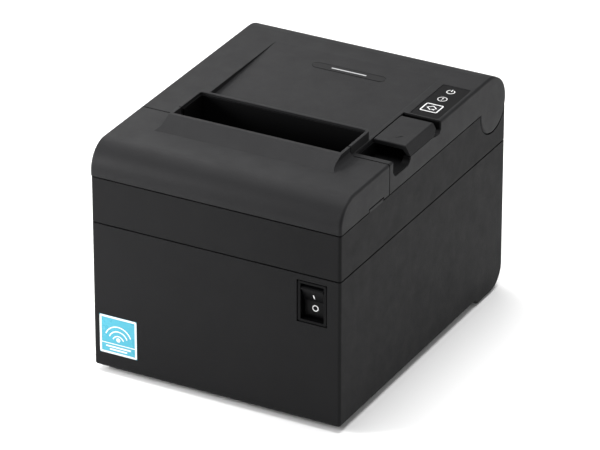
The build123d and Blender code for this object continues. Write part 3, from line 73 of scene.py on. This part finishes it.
# ---------------------------------------------------------------- materials
class Nodes:
    """A material's node tree, with short calls for the nodes that this script uses."""

    def __init__(self, name):
        self.material = bpy.data.materials.new(name)
        self.material.use_nodes = True
        self.tree = self.material.node_tree
        self.shader = self.tree.nodes["Principled BSDF"]
        self.place = self.tree.nodes.new("ShaderNodeTexCoord").outputs["Object"]

    def link(self, source, target):
        self.tree.links.new(source, target)

    def noise(self, scale, detail=3.0, rough=0.5, stretch=None):
        node = self.tree.nodes.new("ShaderNodeTexNoise")
        node.inputs["Scale"].default_value = scale
        node.inputs["Detail"].default_value = detail
        node.inputs["Roughness"].default_value = rough
        place = self.place
        if stretch:
            mapping = self.tree.nodes.new("ShaderNodeMapping")
            mapping.inputs["Scale"].default_value = stretch
            self.link(place, mapping.inputs["Vector"])
            place = mapping.outputs["Vector"]
        self.link(place, node.inputs["Vector"])
        return node.outputs["Fac"]

    def cells(self, scale):
        node = self.tree.nodes.new("ShaderNodeTexVoronoi")
        node.inputs["Scale"].default_value = scale
        self.link(self.place, node.inputs["Vector"])
        return node.outputs["Distance"]

    def spread(self, value, low, high, out_low, out_high):
        node = self.tree.nodes.new("ShaderNodeMapRange")
        self.link(value, node.inputs["Value"])
        for socket, number in (("From Min", low), ("From Max", high),
                               ("To Min", out_low), ("To Max", out_high)):
            node.inputs[socket].default_value = number
        return node.outputs["Result"]

    def mix(self, factor, first, second):
        node = self.tree.nodes.new("ShaderNodeMix")
        node.data_type = "RGBA"
        self.link(factor, node.inputs["Factor"])
        for socket, colour in ((6, first), (7, second)):
            if isinstance(colour, tuple):
                node.inputs[socket].default_value = (*colour, 1)
            else:
                self.link(colour, node.inputs[socket])
        return node.outputs[2]

    def edges(self, radius):
        """1 on sharp edges, 0 on flats; and the normal of an edge rounded by that radius."""
        bevel = self.tree.nodes.new("ShaderNodeBevel")
        bevel.samples = 4
        bevel.inputs["Radius"].default_value = radius
        flat = self.tree.nodes.new("ShaderNodeNewGeometry").outputs["Normal"]
        dot = self.tree.nodes.new("ShaderNodeVectorMath")
        dot.operation = "DOT_PRODUCT"
        self.link(bevel.outputs["Normal"], dot.inputs[0])
        self.link(flat, dot.inputs[1])
        return self.spread(dot.outputs["Value"], 0.97, 0.80, 0.0, 1.0), bevel.outputs["Normal"]

    def bump(self, height, distance, strength=1.0, normal=None):
        node = self.tree.nodes.new("ShaderNodeBump")
        node.inputs["Distance"].default_value = distance
        node.inputs["Strength"].default_value = strength
        self.link(height, node.inputs["Height"])
        if normal is not None:
            self.link(normal, node.inputs["Normal"])
        return node.outputs["Normal"]

    def colour(self, value):
        self.link(value, self.shader.inputs["Base Color"])

    def roughness(self, value):
        self.link(value, self.shader.inputs["Roughness"])

    def normal(self, value):
        self.link(value, self.shader.inputs["Normal"])


def lighter(colour, by):
    return tuple(min(1.0, c * by) for c in colour)


def moulded_plastic(name, colour, roughness, grain=0.00006, grain_size=0.00045, wear=1.5,
                    shine=0.25):
    """Spark-eroded grain, faint flow marks, and slightly worn, paler edges."""
    m = Nodes(name)
    flow = m.noise(18, 4, 0.6)
    speck = m.noise(2600, 2)
    edge, soft = m.edges(0.00045)
    body = m.mix(m.spread(flow, 0.3, 0.7, 0, 1), lighter(colour, 0.93), lighter(colour, 1.07))
    body = m.mix(m.spread(speck, 0.42, 0.75, 0, 0.30), body, lighter(colour, 1.9))
    handled = m.spread(m.noise(60, 5, 0.65), 0.35, 0.75, 0.1, 1)
    gate = m.tree.nodes.new("ShaderNodeMath")
    gate.operation = "MULTIPLY"
    m.link(edge, gate.inputs[0])
    m.link(handled, gate.inputs[1])
    m.colour(m.mix(gate.outputs["Value"], body, lighter(colour, wear)))
    m.roughness(m.spread(m.noise(90, 5, 0.7), 0.3, 0.7, roughness - 0.05, roughness + 0.05))
    m.shader.inputs["Specular IOR Level"].default_value = shine
    pits = m.cells(1 / grain_size)
    m.normal(m.bump(pits, grain, 0.8, soft))
    return m.material


def smooth_plastic(name, colour, roughness, scuff=0.06, shine=0.5):
    """Gloss moulding or printed film with fine scuffs."""
    m = Nodes(name)
    edge, soft = m.edges(0.0003)
    cloud = m.spread(m.noise(40, 3), 0.3, 0.7, 0, 1)
    body = m.mix(cloud, lighter(colour, 0.92), lighter(colour, 1.08))
    m.colour(m.mix(edge, body, lighter(colour, 1.5)))
    scratches = m.noise(900, 6, 0.75, stretch=(1, 0.12, 0.12))
    m.roughness(m.spread(scratches, 0.35, 0.8, roughness, roughness + scuff))
    m.shader.inputs["Specular IOR Level"].default_value = shine
    m.normal(m.bump(scratches, 0.000008, 0.5, soft))
    return m.material


def metal(name, colour, roughness, brushed=(1, 14, 14)):
    """Rolled or ground metal: long fine lines, faint stains."""
    m = Nodes(name)
    lines = m.noise(220, 5, 0.7, stretch=brushed)
    stain = m.spread(m.noise(35, 4, 0.6), 0.35, 0.75, 0, 0.5)
    m.colour(m.mix(stain, colour, lighter(colour, 0.75)))
    m.shader.inputs["Metallic"].default_value = 1.0
    m.roughness(m.spread(lines, 0.3, 0.7, roughness - 0.07, roughness + 0.09))
    soft = m.edges(0.0002)[1]
    m.normal(m.bump(lines, 0.00001, 0.5, soft))
    return m.material


def rubber(name, colour):
    m = Nodes(name)
    dust = m.spread(m.noise(160, 6, 0.7), 0.5, 0.8, 0, 0.4)
    m.colour(m.mix(dust, colour, lighter(colour, 2.6)))
    m.roughness(m.spread(m.noise(120, 4), 0.3, 0.7, 0.72, 0.88))
    soft = m.edges(0.0004)[1]
    m.normal(m.bump(m.cells(3500), 0.00003, 0.6, soft))
    return m.material


def circuit_board(name):
    """Green solder mask over faint copper tracks."""
    m = Nodes(name)
    tracks = m.tree.nodes.new("ShaderNodeTexBrick")
    tracks.inputs["Scale"].default_value = 260
    tracks.inputs["Mortar Size"].default_value = 0.03
    tracks.inputs["Color1"].default_value = (0.012, 0.085, 0.035, 1)
    tracks.inputs["Color2"].default_value = (0.015, 0.105, 0.042, 1)
    tracks.inputs["Mortar"].default_value = (0.05, 0.20, 0.08, 1)
    m.link(m.place, tracks.inputs["Vector"])
    m.colour(m.mix(m.spread(m.noise(30), 0.3, 0.7, 0, 0.4), tracks.outputs["Color"],
                   (0.01, 0.07, 0.03)))
    m.roughness(m.spread(m.noise(200), 0.3, 0.7, 0.28, 0.42))
    m.normal(m.bump(tracks.outputs["Fac"], 0.00003, 0.5))
    return m.material


def matt_ink_and_shade_paint(name, colour, shine=0.5):
    """Matt screen-printed ink, a little uneven; the near-black one is painted shade on the lever, not ink."""
    m = Nodes(name)
    patchy = m.spread(m.noise(700, 4, 0.6), 0.35, 0.7, 0, 1)
    m.colour(m.mix(patchy, lighter(colour, 0.88), colour))
    m.roughness(m.spread(m.noise(500, 3), 0.3, 0.7, 0.45, 0.60))
    m.shader.inputs["Specular IOR Level"].default_value = shine
    m.normal(m.bump(m.noise(3000, 2), 0.000006, 0.5))
    return m.material


def sticker_film(name, colour):
    """Glossy printed film over a halftone."""
    m = Nodes(name)
    dots = m.spread(m.cells(3200), 0.2, 0.8, 0, 0.35)
    m.colour(m.mix(dots, colour, lighter(colour, 0.85)))
    m.roughness(m.spread(m.noise(120, 3), 0.3, 0.7, 0.24, 0.34))
    m.normal(m.bump(m.noise(90, 3), 0.00002, 0.4))
    return m.material


COVER = (0.0120, 0.0120, 0.0127)
HOUSING = (0.0085, 0.0085, 0.0089)


def make_materials():
    """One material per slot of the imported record."""
    made = {
        "cover_plastic": moulded_plastic("cover_plastic", COVER, 0.52, shine=0.11),
        "housing_plastic": moulded_plastic("housing_plastic", HOUSING, 0.55, shine=0.07),
        "inner_plastic": moulded_plastic("inner_plastic", (0.0016, 0.0016, 0.0018), 0.65,
                                         shine=0.06),
        "button_plastic": moulded_plastic("button_plastic", (0.010, 0.010, 0.011), 0.45,
                                          grain=0.00002, shine=0.08),
        "switch_plastic": smooth_plastic("switch_plastic", (0.0020, 0.0020, 0.0023), 0.35,
                                         shine=0.07),
        "panel_film": smooth_plastic("panel_film", (0.0045, 0.0045, 0.0049), 0.55, shine=0.07),
        "lamp_plastic": smooth_plastic("lamp_plastic", (0.0045, 0.0045, 0.0049), 0.50, shine=0.08),
        "badge_insert": smooth_plastic("badge_insert", (0.0085, 0.0085, 0.0090), 0.50, shine=0.11),
        "component_black": smooth_plastic("component_black", (0.012, 0.012, 0.013), 0.45),
        "gear_plastic": smooth_plastic("gear_plastic", (0.62, 0.60, 0.53), 0.42),
        "ceramic": smooth_plastic("ceramic", (0.55, 0.53, 0.49), 0.30),
        "sticker_film": sticker_film("sticker_film", (0.040, 0.33, 0.44)),
        "steel": metal("steel", (0.52, 0.52, 0.53), 0.30),
        "zinc_steel": metal("zinc_steel", (0.30, 0.30, 0.295), 0.46, (1, 1, 1)),
        "blade_steel": metal("blade_steel", (0.56, 0.56, 0.58), 0.24, (14, 1, 14)),
        "heat_sink": metal("heat_sink", (0.60, 0.60, 0.61), 0.38, (1, 20, 20)),
        "port_shell": metal("port_shell", (0.48, 0.48, 0.48), 0.26),
        "bearing_brass": metal("bearing_brass", (0.58, 0.42, 0.17), 0.30),
        "platen_rubber": rubber("platen_rubber", (0.012, 0.012, 0.012)),
        "foot_rubber": rubber("foot_rubber", (0.014, 0.014, 0.014)),
        "board": circuit_board("board"),
    }
    for part in frame["record"]["subparts"]:
        piece = nodes[part["node"]]
        piece.data.materials.clear()
        piece.data.materials.append(made[part["material_slot"]])


# ---------------------------------------------------------------- printed marks and painted shade
INK_THICK = 0.04 * MM
INK_SUNK = 0.01 * MM     # how far a mark reaches into the piece that it is printed on
ROCKER_FACE = 2.4 * MM   # distance of both faces of the power rocker from its pivot


class Print:
    """Thin closed shapes laid on a flat surface, drawn in millimetres about a centre."""

    def __init__(self, name, centre, across, along):
        self.name = name
        self.centre = Vector(centre)
        self.across = Vector(across).normalized()
        self.along = Vector(along).normalized()
        self.out = self.across.cross(self.along)
        self.mesh = bmesh.new()

    def vertex(self, u, v, lift):
        return self.mesh.verts.new(self.centre + (self.across * u + self.along * v) * MM
                                   + self.out * lift)

    def patch(self, outline):
        """A filled shape."""
        low = [self.vertex(u, v, -INK_SUNK) for u, v in outline]
        high = [self.vertex(u, v, INK_THICK) for u, v in outline]
        self.mesh.faces.new(high)
        self.mesh.faces.new(list(reversed(low)))
        for i in range(len(outline)):
            j = (i + 1) % len(outline)
            self.mesh.faces.new((low[i], low[j], high[j], high[i]))

    def stroke(self, points, width, closed=False):
        """A line of even width through the points."""
        count = len(points)
        rings = []
        for i, (u, v) in enumerate(points):
            before = points[i - 1] if closed or i else points[i]
            after = points[(i + 1) % count] if closed or i < count - 1 else points[i]
            into = Vector((u - before[0], v - before[1]))
            away = Vector((after[0] - u, after[1] - v))
            if into.length == 0:
                into = away
            if away.length == 0:
                away = into
            into.normalize()
            away.normalize()
            side = Vector((-(into.y + away.y), into.x + away.x)).normalized()
            half = width / 2 / max(0.35, side.dot(Vector((-into.y, into.x))))
            left = (u + side.x * half, v + side.y * half)
            right = (u - side.x * half, v - side.y * half)
            rings.append([
                self.vertex(*left, INK_THICK), self.vertex(*right, INK_THICK),
                self.vertex(*right, -INK_SUNK), self.vertex(*left, -INK_SUNK),
            ])
        spans = count if closed else count - 1
        for i in range(spans):
            a, b = rings[i], rings[(i + 1) % count]
            for k in range(4):
                n = (k + 1) % 4
                self.mesh.faces.new((a[k], a[n], b[n], b[k]))
        if not closed:
            self.mesh.faces.new(rings[0])
            self.mesh.faces.new(list(reversed(rings[-1])))

    def finish(self, body, material):
        bmesh.ops.recalc_face_normals(self.mesh, faces=self.mesh.faces)
        data = bpy.data.meshes.new(self.name)
        self.mesh.to_mesh(data)
        self.mesh.free()
        piece = bpy.data.objects.new(self.name, data)
        bpy.context.scene.collection.objects.link(piece)
        data.materials.append(material)
        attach(piece, body)
        return piece


def arc(radius, start, end, steps=24, centre=(0, 0)):
    """Points of an arc, angles in degrees."""
    return [(centre[0] + radius * math.cos(math.radians(start + (end - start) * i / steps)),
             centre[1] + radius * math.sin(math.radians(start + (end - start) * i / steps)))
            for i in range(steps + 1)]


def ring(radius, steps=32, centre=(0, 0)):
    return arc(radius, 0, 360, steps, centre)[:-1]


def rounded_box(width, height, radius):
    """Outline of a rectangle with round corners."""
    points = []
    for sx, sy, start in ((1, 1, 0), (-1, 1, 90), (-1, -1, 180), (1, -1, 270)):
        corner = (sx * (width / 2 - radius), sy * (height / 2 - radius))
        points += arc(radius, start, start + 90, 5, corner)
    return points


RIGHT, REARWARD, UP = (1, 0, 0), (0, 1, 0), (0, 0, 1)


def top_centre(node):
    low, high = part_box(node)
    return Vector(((low.x + high.x) / 2, (low.y + high.y) / 2, high.z))


def print_button(ink):
    """White frame and a paper-feed arrow on the feed button."""
    mark = Print("button_print", top_centre("feed_button"), RIGHT, REARWARD)
    low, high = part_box("feed_button")
    wide = (high.x - low.x) / MM - 1.1
    deep = (high.y - low.y) / MM - 1.1
    mark.stroke(rounded_box(wide, deep, 0.7), 0.62, closed=True)
    mark.stroke([(0.2, -2.1), (-2.3, 0.0), (0.0, 2.2), (2.4, 0.1), (1.3, -1.0)], 0.48)
    mark.patch([(2.1, -1.9), (1.9, -0.2), (0.3, -1.5)])
    mark.finish("button", ink)


def print_lamps(ink):
    """Rings on the two lights: power above, status below."""
    low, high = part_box("lamp_windows")
    radius = (high.x - low.x) / 2
    middle = (low.x + high.x) / 2
    power = Print("power_print", (middle, high.y - radius, high.z), RIGHT, REARWARD)
    power.stroke(arc(1.95, 120, 420, 26), 0.42)
    power.stroke([(0, 0.4), (0, 2.5)], 0.45)
    power.finish("cover", ink)
    status = Print("status_print", (middle, low.y + radius, high.z), RIGHT, REARWARD)
    status.stroke(ring(2.25), 0.34, closed=True)
    status.stroke([(0, -0.9), (0, -1.3)], 0.5)
    status.stroke([(0, -0.2), (0, 1.4)], 0.5)
    status.finish("cover", ink)


def print_badge(ink):
    """A plain bar in place of a name."""
    mark = Print("badge_print", top_centre("badge"), RIGHT, REARWARD)
    mark.patch(rounded_box(19.0, 0.9, 0.4))
    mark.finish("cover", ink)


def print_rocker(ink):
    """On and off marks on the two faces of the power rocker."""
    joint = next(j for j in frame["joints"] if j["child"] == "rocker")
    pivot = Vector(joint["pos_m"])
    throw = math.radians(joint["range_deg"][1])
    face = ROCKER_FACE
    off = Print("off_print", (pivot.x, pivot.y - face, pivot.z - 4.1 * MM), RIGHT, UP)
    off.stroke(ring(1.4), 0.5, closed=True)
    off.finish("rocker", ink)
    slope = Vector((0, -math.sin(throw), math.cos(throw)))
    outward = Vector((0, -math.cos(throw), -math.sin(throw)))
    centre = pivot + outward * face + slope * 3.9 * MM
    on = Print("on_print", centre, RIGHT, slope)
    on.stroke([(0, -1.4), (0, 1.4)], 0.55)
    on.finish("rocker", ink)


def print_sticker(ink):
    """White border, a plain leaf and a plain bar on the front sticker."""
    low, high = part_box("front_sticker")
    side = (high.x - low.x) / MM
    centre = ((low.x + high.x) / 2, low.y, (low.z + high.z) / 2)
    mark = Print("sticker_print", centre, RIGHT, UP)
    mark.stroke(rounded_box(side - 1.1, side - 1.1, 0.3), 1.0, closed=True)
    mark.stroke([(-side / 2 + 1.0, -4.6), (side / 2 - 1.0, -4.6)], 0.4)
    for k, length in enumerate((13.5, 9.5)):
        mark.stroke([(-length / 2, -6.2 - 1.5 * k), (length / 2, -6.2 - 1.5 * k)], 0.8)
    for k in range(3):
        reach = 3.0 + 2.1 * k
        mark.stroke(arc(reach, 20, 160, 20, (0, -3.0 + 0.4 * k)), 0.55)
    mark.patch(ring(1.1, 20, (0, -2.0)))
    mark.finish("base", ink)


def paint_lever_shade(ink):
    """Painted shade: a slim dark wedge near the lever's front, where a small recess in the lever top would lie in
    shade.
    """
    low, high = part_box("open_lever")
    mark = Print("lever_painted_shade", (57.1 * MM, low.y + 7.2 * MM, high.z), RIGHT, REARWARD)
    # painted shade: a flat near-black patch in place of the shade in a small recess of the lever top
    mark.patch([(-1.5, -1.6), (0.9, 0.5), (1.4, 1.5), (0.3, 1.1)])
    mark.finish("lever", ink)


# ---------------------------------------------------------------- studio
def make_floor():
    """A pale sweep, flat under the printer."""
    size = 6.0
    mesh = bmesh.new()
    corners = [(-size, -size), (size, -size), (size, size), (-size, size)]
    mesh.faces.new([mesh.verts.new((x, y, -0.0002)) for x, y in corners])
    data = bpy.data.meshes.new("floor")
    mesh.to_mesh(data)
    mesh.free()
    floor = bpy.data.objects.new("floor", data)
    bpy.context.scene.collection.objects.link(floor)
    m = Nodes("floor_paper")
    m.colour(m.mix(m.noise(3, 2), (0.90, 0.90, 0.90), (0.92, 0.92, 0.92)))
    m.roughness(m.spread(m.noise(20), 0.3, 0.7, 0.85, 0.95))
    data.materials.append(m.material)


def area_light(name, place, aim, size, power):
    data = bpy.data.lights.new(name, "AREA")
    data.energy = power
    data.size = size
    lamp = bpy.data.objects.new(name, data)
    lamp.location = place
    toward = Vector(aim) - Vector(place)
    lamp.rotation_euler = toward.to_track_quat("-Z", "Y").to_euler()
    bpy.context.scene.collection.objects.link(lamp)


def make_lights():
    world = bpy.data.worlds.new("studio")
    bpy.context.scene.world = world
    world.use_nodes = True
    sky = world.node_tree.nodes["Background"]
    sky.inputs["Color"].default_value = (1, 1, 1, 1)
    sky.inputs["Strength"].default_value = 0.30
    middle = (0, 0, 0.06)
    area_light("rear_softbox", (-0.55, 0.80, 0.52), middle, 0.55, 1.2)
    area_light("overhead", (0.0, 0.0, 1.6), middle, 1.2, 33)
    area_light("right_fill", (0.75, 0.35, 0.22), middle, 0.4, 1.3)
    area_light("left_strip", (-0.39, 0.30, 0.50), (-0.05, -0.07, 0.12), 0.22, 0.9)
    area_light("front_fill", (-0.32, -0.30, 0.20), (-0.07, -0.086, 0.10), 0.15, 2.1)


make_camera()
make_materials()
white = matt_ink_and_shade_paint("white_ink", (0.78, 0.78, 0.78))
grey = matt_ink_and_shade_paint("grey_ink", (0.42, 0.42, 0.43))
# near-black matt paint for the painted shade on the lever, not a printed mark
dark = matt_ink_and_shade_paint("lever_shade_paint", (0.002, 0.002, 0.002), shine=0.04)
print_button(white)
print_lamps(white)
print_badge(grey)
print_rocker(white)
print_sticker(white)
# painted shade on the lever top
paint_lever_shade(dark)
make_floor()
make_lights()
bpy.context.scene.view_settings.view_transform = "Standard"
